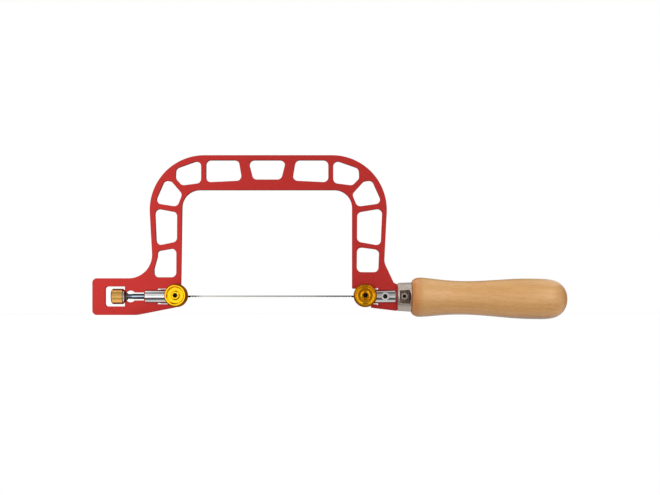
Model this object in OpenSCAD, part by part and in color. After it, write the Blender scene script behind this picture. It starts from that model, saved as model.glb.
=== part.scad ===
// Fret saw with a windowed flat bow frame, screw tension and two thumb-screw blade holders.
// The origin lies on the blade line, midway between the thumb screws, in the frame plate's middle plane.
// X runs from the front foot to the handle, Z from the blade to the spine, and the thumb screws face -Y.

/* [Blade] */
// Length of the plain-ended blade
blade_len = 130; // [124:1:140]
// Height of the blade over its teeth
blade_h = 1.2; // [0.9:0.1:1.8]
// Thickness of the blade
blade_t = 0.5; // [0.3:0.05:0.7]
// Distance from one tooth to the next
tooth_pitch = 1.8; // [1.2:0.1:3]
// Depth of a tooth
tooth_depth = 0.45; // [0.3:0.05:0.6]
// Plain length at each end of the blade
plain_len = 11; // [8:0.5:16]
// How far the blade reaches past each thumb screw
grip_len = 2.5; // [1.5:0.1:3.5]

/* [Bow] */
// Thickness of the frame plate
plate_t = 3.2; // [2.5:0.1:4]
// Distance from the blade line to the underside of the spine
throat_depth = 71; // [60:1:120]
// Height of the spine
spine_h = 23.2; // [20:0.2:28]
// How far the front leg's inner edge stands inside the front screw
front_leg_inset = 3.2; // [2:0.1:5]
// How far the rear leg's inner edge stands inside the rear screw
rear_leg_inset = 8.6; // [7:0.1:10]
// Width of the front leg at the top of the bow
front_leg_top_w = 23.8; // [21:0.2:27]
// Width of the front leg where it meets the foot
front_leg_low_w = 18.2; // [16:0.2:20]
// How far the front leg leans out towards the foot
front_leg_lean = 1.1; // [0:0.1:2]
// Width of the rear leg at the top of the bow
rear_leg_top_w = 25.1; // [22:0.2:28]
// Width of the rear leg where its gusset starts
rear_leg_low_w = 21.5; // [19:0.2:23]
// Outer corner radius of the bow
bow_outer_r = 36.5; // [25:0.5:40]
// Inner corner radius of the bow
bow_inner_r = 11.7; // [6:0.1:14]
// Corner radius of the lightening windows
window_r = 3.2; // [1.5:0.1:3.6]

/* [Front foot] */
// Length of the foot in front of the front screw
foot_len = 56.8; // [55:0.1:60]
// Height of the foot above the blade line
foot_rise = 12.1; // [11:0.1:14]
// Depth of the foot below the blade line
foot_drop = 12.4; // [11:0.1:14]
// Corner radius of the foot
foot_corner_r = 3; // [1:0.1:5]
// Radius between the foot and the front leg
foot_fillet_r = 15.6; // [8:0.1:18]
// Flat length under the foot, in front of its slope
foot_flat_len = 29.6; // [24:0.1:34]
// Depth of the lower arm's tip below the blade line
arm_tip_drop = 7.3; // [6.8:0.1:9]
// How far the lower arm stops short of the front screw
arm_shortfall = 1.3; // [0:0.1:2]
// Width of the wall in front of the tension window
foot_wall = 8.5; // [6:0.1:10]
// Length of the tension window
tension_window_len = 13.2; // [13:0.1:14.5]
// Height of the tension window
tension_window_h = 13.3; // [12:0.1:14]
// Height of the slot that the front barrel slides in
slot_w = 5.3; // [4.8:0.1:6]
// Diameter of the round relief in the slot
slot_relief_d = 7.9; // [7:0.1:9]
// Distance from the tension window to the relief's centre
slot_relief_x = 3.6; // [3.4:0.1:4.4]
// Distance from the front screw to the end of its notch
front_notch_len = 13.6; // [12:0.1:15]
// Gap above and below the barrels in both notches
notch_gap = 0.4; // [0.3:0.1:0.9]

/* [Rear foot] */
// Depth of the rear notch from the leg's inner edge
rear_notch_len = 17; // [16.5:0.1:18]
// Distance from the rear screw to the plate's shoulder
rear_plate_len = 21.5; // [20:0.1:23]
// Length of the lower arm in front of the notch's end
rear_arm_len = 4.4; // [2:0.1:5]
// Depth of the rear arm's tip below the blade line
rear_arm_tip_drop = 7.6; // [7:0.1:9]
// Depth of the plate at its shoulder
rear_drop = 9.7; // [9:0.1:11]
// Height of the plate at its shoulder
shoulder_rise = 8.2; // [7.5:0.1:8.8]
// Height at which the rear gusset starts
gusset_rise = 22.6; // [20:0.2:26]
// Height of the tang that enters the ferrule
tang_h = 12; // [10:0.1:12.6]
// Length of the tang
tang_len = 6.6; // [6:0.1:7.4]
// Diameter of the small reliefs drilled in the rear notch's corners
relief_d = 1; // [0.8:0.1:1.6]

/* [Blade holders] */
// Diameter of both barrels
barrel_d = 9.5; // [9:0.1:10]
// How far each barrel reaches past its screw towards the throat
barrel_head_len = 4.6; // [4:0.1:5.5]
// Length of the front barrel in front of its notch
barrel_tail_len = 8.4; // [6:0.1:10]
// Width of the chamfer on the barrels' ends
barrel_chamfer = 0.7; // [0.3:0.1:1]
// Height of the screw axis above the blade line
screw_rise = 0.5; // [0:0.1:1]
// Diameter of the clamp screws
clamp_screw_d = 5; // [4:0.1:5.4]
// Width across the flats of the clamp screws' hex sockets
clamp_hex = 3; // [2.5:0.1:3]
// Diameter of the clamp pads
pad_d = 4.2; // [3.4:0.1:4.2]
// Thickness of the clamp pads
pad_t = 1.1; // [0.8:0.1:1.4]
// Diameter of the head of the screw through the rear fork
fork_head_d = 5.2; // [4.6:0.1:6]
// Diameter of that screw's shank
fork_shank_d = 4; // [3:0.1:4.4]
// Distance from the rear screw to the fork screw
fork_screw_x = 13.4; // [12:0.1:15]
// Travel of the front barrel towards the foot
tighten_travel = 2; // [1:0.1:2.5]
// Travel of the front barrel towards the throat
loosen_travel = 3; // [1:0.1:3.5]

/* [Thumb knobs] */
// Diameter of the thumb knobs
knob_d = 15.5; // [14.5:0.1:17]
// Depth of the thumb knobs
knob_depth = 8; // [7:0.1:9]
// Diameter of the front rim
rim_d = 13.8; // [13.2:0.1:14.4]
// Diameter of the dish inside the rim
dish_d = 11.8; // [11.2:0.1:12.4]
// Diameter of the dish's floor
dish_floor_d = 9.7; // [9:0.1:10.4]
// Depth of the dish
dish_depth = 3.6; // [2.5:0.1:4.2]
// Diameter of the conical boss in the dish at its top
boss_d = 5.4; // [5.3:0.1:6.2]
// Diameter of the boss at the dish's floor
boss_foot_d = 6.9; // [6.4:0.1:7.8]
// Height of the boss above the dish's floor
boss_h = 3.2; // [1:0.1:3.4]

/* [Tension screw] */
// Diameter of the tension rod
rod_d = 3.5; // [3:0.1:4]
// Diameter of the brass knob
tension_knob_d = 10.3; // [9:0.1:11]
// Length of the brass knob
tension_knob_len = 7.9; // [7:0.1:8.6]
// Number of grooves in the brass knob's straight knurling
knurl_count = 48; // [36:2:60]
// Depth of each groove
knurl_depth = 0.2; // [0.1:0.05:0.3]
// Diameter of the conical seat's flange
seat_d = 8.8; // [7.5:0.1:9.6]
// Length of the seat's cone
seat_cone_len = 1.5; // [1.2:0.1:1.8]
// How deep the cone sits in the countersunk mouth of the slot
seat_sink = 1.1; // [0.5:0.1:1.2]
// Length of the seat's nose in the slot
seat_nose_len = 0.4; // [0.3:0.1:1.2]
// Thickness of the seat's flange
seat_flange_t = 0.5; // [0.4:0.1:0.8]
// Diameter of the pin that locks the rod in the barrel
lock_pin_d = 1.5; // [1:0.1:1.6]

/* [Handle] */
// Length of the wooden handle
handle_len = 103.9; // [95:0.5:125]
// Diameter of the shoulder behind the ferrule
shoulder_d = 26.3; // [24:0.1:29]
// Diameter of the waist
waist_d = 22.4; // [21:0.1:24]
// Diameter of the belly
belly_d = 27; // [24:0.1:31]
// Length of the ferrule in front of the wood
ferrule_len = 9.4; // [9:0.1:12]
// Diameter of the ferrule's front
ferrule_front_d = 18.8; // [18:0.1:20]
// Diameter of the ferrule's back
ferrule_back_d = 19.6; // [18.4:0.1:21]
// Diameter of the ferrule's spigot inside the wood
spigot_d = 12; // [10:0.1:13]
// Length of the spigot
spigot_len = 9; // [7:0.1:12]
// Diameter of the stud
stud_d = 6; // [5:0.1:7]
// Length of the stud
stud_len = 34; // [26:0.5:40]
// Diameter of the insert in the wood
insert_d = 10; // [8.5:0.1:11]
// Length of the insert
insert_len = 13; // [10:0.1:15]
// Diameter of the ferrule's set screw
set_screw_d = 4.8; // [4:0.1:5]
// Width across the flats of its hex socket
set_screw_hex = 2.5; // [2:0.1:2.5]
// Distance from the ferrule's front to its set screw
set_screw_x = 4.2; // [3.8:0.1:4.6]
// Depth of the flat milled round the set screw
flat_depth = 1.5; // [0.8:0.1:1.8]
// Downward tilt of the handle, in degrees
handle_tilt = 0.84; // [0:0.02:1.2]
// Height that the ferrule's front sits below the blade line
handle_drop = 0.3; // [0:0.05:0.4]

/* [Hidden] */

// Smoothness of round pieces, and how far a rounded corner's chords may lie inside its arc
$fn = 64;
chord_sag = 0.02;
// Most of an edge that one rounded corner may use, in a window and on the bow's outline
window_reach_share = 0.48;
bow_reach_share = 0.65;

// Clearances: sliding faces, turning pieces, pieces fixed in a hole, and the stop of a travel
slide_gap = 0.1;
turn_gap = 0.08;
fit_gap = 0.04;
stop_gap = 0.3;
knob_gap = 0.4;
// How far every cut runs past its faces
overrun = 1;

// Height of both notches that the barrels lie in
notch_h = barrel_d + 2 * notch_gap;

// Places along the blade line
clamp_span = blade_len - 2 * grip_len;
front_screw_x = -clamp_span / 2;
rear_screw_x = clamp_span / 2;
foot_x = front_screw_x - foot_len;
tension_wall_x = foot_x + foot_wall + tension_window_len;
front_notch_x = front_screw_x - front_notch_len;
arm_tip_x = front_screw_x - arm_shortfall;
rear_leg_x = rear_screw_x - rear_leg_inset;
rear_notch_x = rear_leg_x + rear_notch_len;
plate_end_x = rear_screw_x + rear_plate_len;
tang_end_x = plate_end_x + tang_len;
ferrule_x = plate_end_x + fit_gap + ferrule_front_d / 2 * sin(handle_tilt);
rear_barrel_end_x = plate_end_x - barrel_chamfer;

// Heights and inner edges of the bow
top_z = throat_depth + spine_h;
front_leg_x = front_screw_x + front_leg_inset;
front_leg_low_x = front_leg_x - front_leg_lean;
half_throat = (rear_leg_x - front_leg_x) / 2;
bow_x = (rear_leg_x + front_leg_x) / 2;

// Radius of the arms' tips and of the edge between the gusset and the shoulder
arm_tip_r = 0.7;
gusset_r = 9;
shoulder_r = 1.6;
// Where the gusset bends to the shoulder, as shares of the shoulder's and the gusset's sizes
gusset_bend_rise_share = 1.11;
gusset_bend_run_share = 0.74;

// Windows of half the spine: shares of half the throat from the bow's middle, and of the spine's height
spine_window_shares = [[0.72, 0.86], [0.336, 0.86], [0.295, 0.27], [0.72, 0.22]];
middle_window_shares = [[0.224, 0.86], [-0.224, 0.86], [-0.165, 0.3], [0.165, 0.3]];
// Windows of a corner: shares of the leg's top width outwards or of the spine's height inwards,
// and of the spine's height upwards
corner_upper_shares = [[0.18, 0.62], [-0.54, 0.88], [-0.54, 0.2], [0.01, 0.13], [0.19, 0.33]];
front_corner_lower_shares = [[0.5, 0.28], [0.31, 0.25], [0, -0.12], [0.14, -0.48], [0.78, -0.38]];
rear_corner_lower_shares = [[0.53, 0.28], [0.31, 0.25], [0, -0.12], [0.14, -0.48], [0.805, -0.38]];
// Windows of a leg: shares of the leg's width from its inner edge, and of the throat's depth
front_leg_upper_shares = [[0.84, 0.83], [0.15, 0.79], [0.15, 0.515], [0.84, 0.475]];
front_leg_lower_shares = [
    [0.81, 0.425], [0.17, 0.457], [0.17, 0.18], [0.97, 0.18], [0.957, 0.262], [0.82, 0.375]
];
rear_leg_upper_shares = [[0.87, 0.83], [0.15, 0.79], [0.15, 0.515], [0.87, 0.475]];
rear_leg_lower_shares = [[0.83, 0.438], [0.15, 0.466], [0.15, 0.228], [0.83, 0.228]];

// Slots and bores of the barrels
barrel_r = barrel_d / 2;
web_h = slot_w - 2 * slide_gap;
groove_w = plate_t + 2 * slide_gap;
barrel_front_x = front_notch_x - barrel_tail_len;
groove_end_x = front_notch_x + tighten_travel + stop_gap;
front_head_x = front_screw_x + barrel_head_len;
rear_head_x = rear_screw_x - barrel_head_len;
slit_front_y = -blade_t / 2 - pad_t / 2;
slit_back_y = blade_t / 2 + turn_gap;
front_slit_x = -blade_len / 2 - stop_gap;
rear_slit_x = blade_len / 2 + loosen_travel + stop_gap;
fork_x = rear_notch_x - stop_gap;
rod_bore_depth = barrel_tail_len + slide_gap;
lock_pin_x = barrel_front_x + barrel_tail_len / 3;
fork_head_depth = barrel_r - plate_t;
hex_depth = 2;

// Distances from the blade line towards the viewer
pad_y = blade_t / 2 + turn_gap;
clamp_tip_y = pad_y + pad_t + turn_gap;
pad_pin_d = pad_d / 2;
pad_pin_len = pad_t * 0.8;
knob_back_y = barrel_r + knob_gap;
dish_floor_y = knob_back_y + knob_depth - dish_depth;
boss_y = dish_floor_y + boss_h;
clamp_screw_end_y = boss_y - boss_h / 2;

// Places of the tension knob and its seat, whose cone and the slot's mouth have one slope
seat_nose_r = web_h / 2;
seat_slope = (seat_d / 2 - seat_nose_r) / seat_cone_len;
seat_back_x = tension_wall_x + seat_sink - seat_cone_len;
seat_front_x = seat_back_x - seat_flange_t;
mouth_front_x = tension_wall_x - overrun;
mouth_back_x = tension_wall_x + seat_sink;
mouth_rise = (mouth_back_x - mouth_front_x) * seat_slope;
mouth_points = [
    [mouth_front_x, slot_w / 2 + mouth_rise], [mouth_back_x, slot_w / 2],
    [mouth_back_x, -slot_w / 2], [mouth_front_x, -slot_w / 2 - mouth_rise]
];
tension_knob_x = seat_front_x - slide_gap - tension_knob_len;
knob_chamfer = tension_knob_len / 10;
rod_front_x = tension_knob_x + knob_chamfer;

// Width of the ferrule's collar in front of its flat, and the flat's distance from the blade line
ferrule_collar = ferrule_len / 9;
flat_y = ferrule_back_d / 2 - flat_depth;

// Handle: places of its shoulder, waist and belly as shares of its length
shoulder_share = 0.053;
waist_share = 0.327;
belly_share = 0.77;
// How quickly the shoulder falls to the waist, and how square the end is
waist_ease = 0.75;
end_squareness = 4.2;
handle_steps = 9;
stud_front_len = spigot_len * 0.8;

// Point at a share of the way from one value to another
function between(a, b, share) = a + (b - a) * share;
function unit(v) = v / norm(v);
function short_turn(a) = a > 180 ? a - 360 : a < -180 ? a + 360 : a;

// A corner of an outline with radius r, as an arc between its two edges
function corner_arc(before, at, after, r, reach_share) =
    r == 0 ? [at] :
    let (
        u = unit(before - at),
        v = unit(after - at),
        half = acos(u * v) / 2,
        reach = min(r / tan(half), reach_share * min(norm(before - at), norm(after - at))),
        arc_r = reach * tan(half),
        centre = at + unit(u + v) * arc_r / sin(half),
        from = at + u * reach - centre,
        to = at + v * reach - centre,
        start = atan2(from.y, from.x),
        turn = short_turn(atan2(to.y, to.x) - start),
        steps = max(1, ceil(abs(turn) / acos(1 - chord_sag / arc_r) / 2))
    )
    [for (i = [0:steps]) centre + arc_r * [cos(start + turn * i / steps), sin(start + turn * i / steps)]];

// An outline whose corners are given as [x, z, radius]
function rounded(corners, reach_share = window_reach_share) =
    let (n = len(corners))
    [for (i = [0:n - 1])
        let (a = corners[(i + n - 1) % n], b = corners[i], c = corners[(i + 1) % n])
        each corner_arc([a.x, a.y], [b.x, b.y], [c.x, c.y], b.z, reach_share)];

// Edges of the legs at a height
function front_inner(z) = between(front_leg_low_x, front_leg_x, z / throat_depth);
function front_outer(z) = between(
    front_leg_low_x - front_leg_low_w, front_leg_x - front_leg_top_w,
    (z - foot_rise) / (top_z - foot_rise));
function rear_outer(z) = between(
    rear_leg_x + rear_leg_low_w, rear_leg_x + rear_leg_top_w,
    (z - gusset_rise) / (top_z - gusset_rise));

// Window corners from their shares; side is -1 at the front and 1 at the rear
function spine_window(shares, side) =
    [for (p = shares) [bow_x + side * half_throat * p.x, throat_depth + spine_h * p.y, window_r]];
function corner_window(shares, side) =
    let (leg_w = side < 0 ? front_leg_top_w : rear_leg_top_w)
    [for (p = shares) [
        bow_x + side * (half_throat + p.x * (p.x < 0 ? spine_h : leg_w)),
        throat_depth + spine_h * p.y, window_r]];
function front_window(shares) =
    [for (p = shares) let (z = throat_depth * p.y)
        [between(front_inner(z), front_outer(z), p.x), z, window_r]];
function rear_window(shares) =
    [for (p = shares) let (z = throat_depth * p.y) [between(rear_leg_x, rear_outer(z), p.x), z, window_r]];

windows = [
    spine_window(spine_window_shares, -1), spine_window(spine_window_shares, 1),
    spine_window(middle_window_shares, 1),
    corner_window(corner_upper_shares, -1), corner_window(front_corner_lower_shares, -1),
    corner_window(corner_upper_shares, 1), corner_window(rear_corner_lower_shares, 1),
    front_window(front_leg_upper_shares), front_window(front_leg_lower_shares),
    rear_window(rear_leg_upper_shares), rear_window(rear_leg_lower_shares)
];

bow_corners = [
    [front_outer(top_z), top_z, bow_outer_r],
    [rear_outer(top_z), top_z, bow_outer_r],
    [rear_outer(gusset_rise), gusset_rise, gusset_r],
    [between(rear_outer(gusset_rise), plate_end_x, gusset_bend_run_share),
     shoulder_rise * gusset_bend_rise_share, shoulder_r],
    [plate_end_x, shoulder_rise, arm_tip_r],
    [plate_end_x, tang_h / 2, 0],
    [tang_end_x, tang_h / 2, arm_tip_r],
    [tang_end_x, -tang_h / 2, arm_tip_r],
    [plate_end_x, -tang_h / 2, 0],
    [plate_end_x, -rear_drop, arm_tip_r],
    [rear_notch_x - rear_arm_len, -rear_arm_tip_drop, arm_tip_r],
    [rear_notch_x - rear_arm_len, -notch_h / 2, arm_tip_r],
    [rear_notch_x, -notch_h / 2, 0],
    [rear_notch_x, notch_h / 2, 0],
    [rear_leg_x, notch_h / 2, arm_tip_r],
    [rear_leg_x, throat_depth, bow_inner_r],
    [front_leg_x, throat_depth, bow_inner_r],
    [front_inner(notch_h / 2), notch_h / 2, arm_tip_r],
    [front_notch_x, notch_h / 2, 0],
    [front_notch_x, -notch_h / 2, 0],
    [arm_tip_x, -notch_h / 2, arm_tip_r],
    [arm_tip_x, -arm_tip_drop, arm_tip_r],
    [foot_x + foot_flat_len, -foot_drop, foot_fillet_r],
    [foot_x, -foot_drop, foot_corner_r],
    [foot_x, foot_rise, foot_corner_r],
    [front_outer(foot_rise), foot_rise, foot_fillet_r]
];

tension_window_corners = [
    [foot_x + foot_wall, tension_window_h / 2, window_r * 0.6],
    [tension_wall_x, tension_window_h / 2, 0],
    [tension_wall_x, -tension_window_h / 2, 0],
    [foot_x + foot_wall, -tension_window_h / 2, window_r * 0.6]
];

// The blade's outline: a straight back, plain ends, and teeth whose steep faces look at the handle
tooth_count = floor((blade_len - 2 * plain_len) / tooth_pitch);
first_tooth_x = -tooth_count * tooth_pitch / 2;
tooth_face = tooth_pitch / 12;
gullet_share = 0.45;
blade_points = concat(
    [[-blade_len / 2, blade_h / 2], [-blade_len / 2, -blade_h / 2]],
    [for (i = [0:tooth_count - 1]) let (x = first_tooth_x + i * tooth_pitch) each [
        [x, -blade_h / 2],
        [x + tooth_face, tooth_depth - blade_h / 2],
        [x + tooth_face + tooth_pitch * gullet_share, tooth_depth - blade_h / 2]
    ]],
    [[-first_tooth_x, -blade_h / 2], [blade_len / 2, -blade_h / 2], [blade_len / 2, blade_h / 2]]
);

// Turns a piece drawn along Z so that it lies along the blade line
module along_x(x) { translate([x, 0, 0]) rotate([0, 90, 0]) children(); }

// Turns a piece drawn along Z so that it faces the viewer, at a place in the frame's plane
module towards_viewer(x, z) { translate([x, 0, z]) rotate([90, 0, 0]) children(); }

// Places a piece drawn along Z on the tilted axis of the handle, with the ferrule's front at zero
module on_handle_axis() {
    translate([ferrule_x, 0, -handle_drop]) rotate([0, 90 + handle_tilt, 0]) children();
}

// A plate in the frame's plane
module flat_plate(points, t) { rotate([90, 0, 0]) linear_extrude(height = t, center = true) polygon(points); }

// A solid of revolution from [radius, height] points
module turned(points) { rotate_extrude() polygon(points); }

// A round bar with chamfered ends
module chamfered_bar(r, h, chamfer) {
    turned([[0, 0], [r - chamfer, 0], [r, chamfer], [r, h - chamfer], [r - chamfer, h], [0, h]]);
}

// A hexagonal hole by its width across flats
module hex_hole(af, depth) { cylinder(h = depth, r = af / sqrt(3), $fn = 6); }

// A box between two corners
module span(low, high) { translate(low) cube(high - low); }

// A hole through the frame plate
module plate_hole(x, z, d) { towards_viewer(x, z) cylinder(h = plate_t + 2 * overrun, d = d, center = true); }

module frame() {
    color("firebrick") difference() {
        flat_plate(rounded(bow_corners, bow_reach_share), plate_t);
        for (w = windows) flat_plate(rounded(w), plate_t + 2 * overrun);
        flat_plate(rounded(tension_window_corners), plate_t + 2 * overrun);
        flat_plate(mouth_points, plate_t + 2 * overrun);
        span([tension_wall_x - overrun, -plate_t, -slot_w / 2],
             [front_notch_x + overrun, plate_t, slot_w / 2]);
        plate_hole(tension_wall_x + slot_relief_x, 0, slot_relief_d);
        for (side = [-1, 1]) plate_hole(rear_notch_x, side * notch_h / 2, relief_d);
        plate_hole(rear_screw_x + fork_screw_x, 0, fork_shank_d + 2 * fit_gap);
    }
}

// The cuts that both blade holders share: the blade's slit, the clamp screw's bore and the pad's room
module clamp_cuts(screw_x, slit_low_x, slit_high_x) {
    span([slit_low_x, slit_front_y, -barrel_d], [slit_high_x, slit_back_y, barrel_d]);
    towards_viewer(screw_x, screw_rise) cylinder(h = barrel_d, d = clamp_screw_d + 2 * turn_gap);
}

module front_barrel() {
    color("gainsboro") difference() {
        along_x(barrel_front_x) chamfered_bar(barrel_r, front_head_x - barrel_front_x, barrel_chamfer);
        for (side = [-1, 1])
            translate([barrel_front_x - overrun, -groove_w / 2, side > 0 ? web_h / 2 : -barrel_d])
                cube([groove_end_x - barrel_front_x + overrun, groove_w, barrel_d - web_h / 2]);
        clamp_cuts(front_screw_x, front_slit_x, front_head_x + overrun);
        along_x(barrel_front_x - overrun) cylinder(h = rod_bore_depth + overrun, d = rod_d + 2 * fit_gap);
        translate([lock_pin_x, 0, -barrel_d / 2]) cylinder(h = barrel_d, d = lock_pin_d + 2 * fit_gap);
    }
}

module tension_rod() {
    color("slategray") difference() {
        along_x(rod_front_x)
            chamfered_bar(rod_d / 2, barrel_front_x + rod_bore_depth - rod_front_x - fit_gap, rod_d / 8);
        translate([lock_pin_x, 0, -rod_d]) cylinder(h = 2 * rod_d, d = lock_pin_d + 2 * fit_gap);
    }
}

module rod_lock_pin() {
    color("dimgray") translate([lock_pin_x, 0, -web_h / 2]) cylinder(h = web_h, d = lock_pin_d);
}

module tension_seat() {
    bore_r = rod_d / 2 + slide_gap;
    nose_h = seat_flange_t + seat_cone_len;
    color("dimgray") along_x(seat_front_x) turned([
        [bore_r, 0], [seat_d / 2, 0], [seat_d / 2, seat_flange_t], [seat_nose_r, nose_h],
        [seat_nose_r, nose_h + seat_nose_len], [bore_r, nose_h + seat_nose_len]
    ]);
}

// The knob's grooves run between its chamfers
module tension_knob() {
    bore_r = rod_d / 2 + turn_gap;
    r = tension_knob_d / 2;
    ridge = 180 / knurl_count;
    color("goldenrod") along_x(tension_knob_x) difference() {
        turned([
            [bore_r, knob_chamfer], [bore_r + knob_chamfer, 0], [r - knob_chamfer, 0], [r, knob_chamfer],
            [r, tension_knob_len - knob_chamfer / 2], [r - knob_chamfer / 2, tension_knob_len],
            [bore_r, tension_knob_len]
        ]);
        translate([0, 0, knob_chamfer]) linear_extrude(height = tension_knob_len - 3 * knob_chamfer / 2)
            for (i = [0:knurl_count - 1]) rotate(2 * ridge * i) polygon([
                [r - knurl_depth, 0],
                [r + knurl_depth, -2 * knurl_depth], [r + knurl_depth, 2 * knurl_depth]
            ]);
    }
}

// A turned, dished knob with a conical boss; its hexagonal hole gives a key its way to the clamp screw
module thumb_knob(screw_x) {
    side_r = knob_d / 2;
    rim_r = rim_d / 2;
    edge = (rim_d - dish_d) / 6;
    front_y = knob_back_y + knob_depth;
    color("gold") towards_viewer(screw_x, screw_rise) difference() {
        turned([
            [0, knob_back_y], [side_r - edge * 3, knob_back_y], [side_r, knob_back_y + edge * 3],
            [side_r, knob_back_y + knob_depth / 2], [rim_r + edge / 2, front_y - edge],
            [rim_r - edge / 2, front_y], [dish_d / 2 + edge / 2, front_y], [dish_d / 2, front_y - edge / 2],
            [dish_floor_d / 2, dish_floor_y + edge], [dish_floor_d / 2 - edge, dish_floor_y],
            [boss_foot_d / 2, dish_floor_y], [boss_d / 2, boss_y - edge / 2],
            [boss_d / 2 - edge / 2, boss_y], [0, boss_y]
        ]);
        cylinder(h = clamp_screw_end_y + fit_gap, d = clamp_screw_d + 2 * fit_gap);
        hex_hole(clamp_hex, boss_y + overrun);
    }
}

// A screw with a hex socket, and a bore in its tip for the pad's pin
module clamp_screw(screw_x) {
    color("dimgray") towards_viewer(screw_x, screw_rise) difference() {
        translate([0, 0, clamp_tip_y])
            chamfered_bar(clamp_screw_d / 2, clamp_screw_end_y - clamp_tip_y, clamp_screw_d / 16);
        translate([0, 0, clamp_screw_end_y - hex_depth]) hex_hole(clamp_hex, hex_depth + overrun);
        translate([0, 0, clamp_tip_y - overrun])
            cylinder(h = pad_pin_len + overrun, d = pad_pin_d + 2 * turn_gap);
    }
}

// A disc with a pin, so that the screw turns while the pad only presses
module clamp_pad(screw_x) {
    color("silver") towards_viewer(screw_x, screw_rise) {
        translate([0, 0, pad_y]) chamfered_bar(pad_d / 2, pad_t, pad_t / 8);
        translate([0, 0, pad_y + pad_t / 2]) cylinder(h = pad_t / 2 + pad_pin_len - turn_gap, d = pad_pin_d);
    }
}

module front_thumb_knob() { thumb_knob(front_screw_x); }
module rear_thumb_knob() { thumb_knob(rear_screw_x); }
module front_clamp_screw() { clamp_screw(front_screw_x); }
module rear_clamp_screw() { clamp_screw(rear_screw_x); }
module front_clamp_pad() { clamp_pad(front_screw_x); }
module rear_clamp_pad() { clamp_pad(rear_screw_x); }

module blade() { color("dimgray") flat_plate(blade_points, blade_t); }

// The rear barrel is forked over the plate and its screw goes through both prongs
module rear_barrel() {
    color("gainsboro") difference() {
        along_x(rear_head_x) chamfered_bar(barrel_r, rear_barrel_end_x - rear_head_x, barrel_chamfer);
        span([fork_x, -groove_w / 2, -barrel_d], [plate_end_x + overrun, groove_w / 2, barrel_d]);
        clamp_cuts(rear_screw_x, rear_head_x - overrun, rear_slit_x);
        towards_viewer(rear_screw_x + fork_screw_x, 0) {
            cylinder(h = barrel_d, d = fork_shank_d + 2 * fit_gap, center = true);
            translate([0, 0, barrel_r - fork_head_depth])
                cylinder(h = barrel_d, d = fork_head_d + 2 * fit_gap);
        }
    }
}

module rear_fork_screw() {
    back_y = -barrel_r + barrel_chamfer;
    seat_y = barrel_r - fork_head_depth;
    front_y = barrel_r - barrel_chamfer / 2;
    color("silver") towards_viewer(rear_screw_x + fork_screw_x, 0) difference() {
        union() {
            translate([0, 0, back_y]) chamfered_bar(fork_shank_d / 2, seat_y - back_y, fork_shank_d / 16);
            translate([0, 0, seat_y]) cylinder(h = front_y - seat_y, d = fork_head_d);
        }
        translate([0, 0, front_y - hex_depth]) hex_hole(clamp_hex, hex_depth + overrun);
    }
}

// Room for the tang in the ferrule, square with the frame
module tang_room() {
    span([ferrule_x - overrun, -plate_t / 2 - slide_gap, -tang_h / 2 - slide_gap],
         [tang_end_x + stop_gap, plate_t / 2 + slide_gap, tang_h / 2 + slide_gap]);
}

// Room in front of the set screw's flat, with a sloping end towards the handle
module set_screw_flat() {
    high_y = ferrule_back_d;
    low_x = ferrule_x + ferrule_collar;
    high_x = ferrule_x + ferrule_len - ferrule_collar / 2;
    translate([0, 0, -ferrule_back_d / 2]) linear_extrude(height = ferrule_back_d) polygon([
        [low_x, -high_y], [low_x, -flat_y], [high_x - flat_depth, -flat_y],
        [high_x, -flat_y - flat_depth], [high_x, -high_y]
    ]);
}

module ferrule() {
    front_r = ferrule_front_d / 2;
    back_r = ferrule_back_d / 2;
    edge = ferrule_len / 12;
    color("lightgray") difference() {
        on_handle_axis() turned([
            [0, 0], [front_r - edge, 0], [front_r - edge / 4, edge / 4], [front_r, edge],
            [back_r, ferrule_len - edge / 2], [back_r - edge / 2, ferrule_len],
            [spigot_d / 2, ferrule_len], [spigot_d / 2, ferrule_len + spigot_len],
            [0, ferrule_len + spigot_len]
        ]);
        tang_room();
        set_screw_flat();
        towards_viewer(ferrule_x + set_screw_x, 0)
            cylinder(h = ferrule_back_d, d = set_screw_d + 2 * fit_gap);
        on_handle_axis() translate([0, 0, ferrule_len + spigot_len - stud_front_len])
            cylinder(h = stud_front_len + overrun, d = stud_d + 2 * fit_gap);
    }
}

module ferrule_set_screw() {
    front_y = flat_y - stop_gap;
    color("dimgray") towards_viewer(ferrule_x + set_screw_x, 0) difference() {
        translate([0, 0, plate_t / 2 + fit_gap])
            chamfered_bar(set_screw_d / 2, front_y - plate_t / 2 - fit_gap, set_screw_d / 16);
        translate([0, 0, front_y - hex_depth]) hex_hole(set_screw_hex, hex_depth + overrun);
    }
}

// Where the stud starts on the handle's axis
stud_start = ferrule_len + spigot_len - stud_front_len + fit_gap;
insert_start = ferrule_len + spigot_len + stop_gap;

module handle_stud() {
    color("silver") on_handle_axis() translate([0, 0, stud_start])
        chamfered_bar(stud_d / 2, stud_len, stud_d / 16);
}

module handle_insert() {
    color("goldenrod") on_handle_axis() translate([0, 0, insert_start]) difference() {
        chamfered_bar(insert_d / 2, insert_len, insert_d / 20);
        translate([0, 0, -overrun]) cylinder(h = insert_len + 2 * overrun, d = stud_d + 2 * fit_gap);
    }
}

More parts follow.
